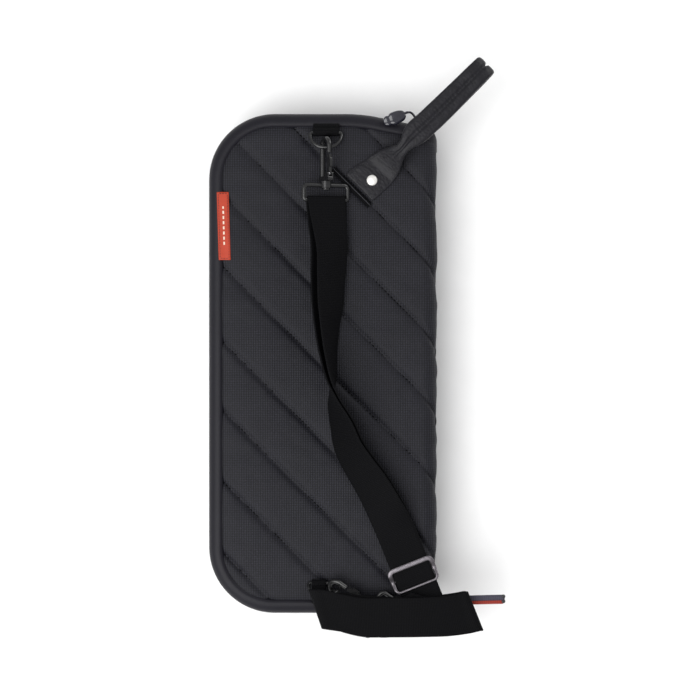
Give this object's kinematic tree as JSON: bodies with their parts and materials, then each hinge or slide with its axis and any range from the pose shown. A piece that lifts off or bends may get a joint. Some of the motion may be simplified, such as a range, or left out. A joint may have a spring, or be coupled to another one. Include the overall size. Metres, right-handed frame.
{
  "type": "drum stick bag",
  "caption": "Quilted folio bag for drum sticks, with a zip round three sides, a folded spine, a clip-on webbing shoulder strap and a riveted leather grip handle.",
  "frame": {"origin": "centre of the closed bag's plan, on the resting face of the back panel", "axes": "+Y towards the top ring along the bag's length, +X towards the spine, +Z out of the front face"},
  "size_m": [0.286, 0.5695, 0.1059],
  "materials": {
    "quilted_cloth": "quilted coarse nylon, slight sheen",
    "gusset_cloth": "smooth woven nylon",
    "lining_cloth": "plain woven lining",
    "binding_tape": "grosgrain binding",
    "elastic": "ribbed elastic",
    "zip_tape": "woven zip tape",
    "tail_tape": "grey woven tape",
    "zip_coil": "nylon coil",
    "label": "orange woven label",
    "webbing": "ribbed nylon webbing",
    "leather": "pebbled black leather",
    "rivet_metal": "nickel plated",
    "black_metal": "glossy black",
    "spring_steel": "spring wire",
    "grey_metal": "gunmetal plated",
    "pull_rubber": "moulded, glossy"
  },
  "bodies": {
    "back_shell": {"back_panel": "quilted_cloth", "back_gusset": "gusset_cloth", "back_lining": "lining_cloth", "back_seam_binding": "binding_tape", "back_zip_tape": "zip_tape", "back_zip_teeth": "zip_coil", "stick_sleeve_1": "lining_cloth", "stick_sleeve_2": "lining_cloth", "stick_sleeve_3": "lining_cloth", "stick_sleeve_4": "lining_cloth", "sleeve_binding": "binding_tape", "stick_keeper": "elastic"},
    "spine": {"spine_panel": "quilted_cloth", "spine_lining": "lining_cloth", "spine_ends": "gusset_cloth"},
    "front_cover": {"front_panel": "quilted_cloth", "front_gusset": "gusset_cloth", "front_lining": "lining_cloth", "front_seam_binding": "binding_tape", "front_zip_tape": "zip_tape", "front_zip_teeth": "zip_coil", "cover_pocket": "lining_cloth", "pocket_binding": "binding_tape", "side_label": "label", "top_ring_tab": "webbing", "bottom_ring_tab": "webbing", "handle_tab": "leather", "handle_patch": "leather", "handle_rivet": "rivet_metal", "rivet_burr": "rivet_metal", "hook_eye_a": "black_metal", "hook_eye_b": "black_metal", "strap_upper": "webbing", "strap_lower": "webbing", "zip_tail": "tail_tape", "zip_tail_facing": "label"},
    "zip_slider": {"zip_slider": "black_metal"},
    "zip_pull": {"pull_wire": "black_metal", "pull_grip": "pull_rubber"},
    "top_ring": {"top_ring": "black_metal"},
    "hook_a": {"hook_a": "black_metal", "gate_spring_a": "spring_steel"},
    "hook_gate_a": {"hook_gate_a": "black_metal"},
    "bottom_ring": {"bottom_ring": "black_metal"},
    "hook_b": {"hook_b": "black_metal", "gate_spring_b": "spring_steel"},
    "hook_gate_b": {"hook_gate_b": "black_metal"},
    "tri_glide": {"tri_glide": "grey_metal", "strap_end_loop": "webbing"},
    "handle": {"handle_grip": "leather"}
  },
  "joints": [
    {"name": "spine_fold", "type": "hinge", "parent": "back_shell", "child": "spine", "pos_m": [0.1069, 0, 0.0041], "axis": [0, 1, 0], "range_deg": [0, 80]},
    {"name": "cover_fold", "type": "hinge", "parent": "spine", "child": "front_cover", "pos_m": [0.1069, 0, 0.0619], "axis": [0, 1, 0], "range_deg": [0, 80]},
    {"name": "zip_slide", "type": "slide", "parent": "front_cover", "child": "zip_slider", "axis": [-0.9796, 0.2008, 0], "range_m": [0, 0.012]},
    {"name": "pull_swing", "type": "hinge", "parent": "zip_slider", "child": "zip_pull", "pos_m": [0.0912, 0.23642, 0.042], "axis": [0.9796, -0.2008, 0], "range_deg": [-160, 0]},
    {"name": "top_ring_swing", "type": "hinge", "parent": "front_cover", "child": "top_ring", "pos_m": [0.0039, 0.2225, 0.0696], "axis": [1, 0, 0], "range_deg": [-4, 4]},
    {"name": "hook_a_swivel", "type": "hinge", "parent": "front_cover", "child": "hook_a", "pos_m": [0.0039, 0.1731, 0.0765], "axis": [0, 1, 0], "range_deg": [-8, 8]},
    {"name": "hook_a_gate", "type": "hinge", "parent": "hook_a", "child": "hook_gate_a", "pos_m": [0.0073, 0.1817, 0.08239], "axis": [-0.866, 0, 0.5], "range_deg": [0, 20], "stiffness_Nm_per_rad": 0.02, "springref_deg": -20.05},
    {"name": "bottom_ring_swing", "type": "hinge", "parent": "front_cover", "child": "bottom_ring", "pos_m": [0.002, -0.2135, 0.0696], "axis": [1, 0, 0], "range_deg": [-4, 4]},
    {"name": "hook_b_swivel", "type": "hinge", "parent": "front_cover", "child": "hook_b", "pos_m": [0.0441, -0.2375, 0.0757], "axis": [-0.8211, 0.5708, 0], "range_deg": [-6, 6]},
    {"name": "hook_b_gate", "type": "hinge", "parent": "hook_b", "child": "hook_gate_b", "pos_m": [0.04024, -0.22799, 0.07955], "axis": [-0.3233, -0.4651, 0.8241], "range_deg": [0, 20], "stiffness_Nm_per_rad": 0.02, "springref_deg": -20.05},
    {"name": "glide_slide", "type": "slide", "parent": "front_cover", "child": "tri_glide", "axis": [-0.37, 0.929, 0], "range_m": [0, 0.012]},
    {"name": "handle_fold", "type": "hinge", "parent": "front_cover", "child": "handle", "pos_m": [0.05734, 0.18534, 0.0679], "axis": [0.7071, -0.7071, 0], "range_deg": [0, 65]}
  ],
  "couplings": [
    {"joint": "cover_fold", "follows": "spine_fold", "ratio": 1}
  ]
}
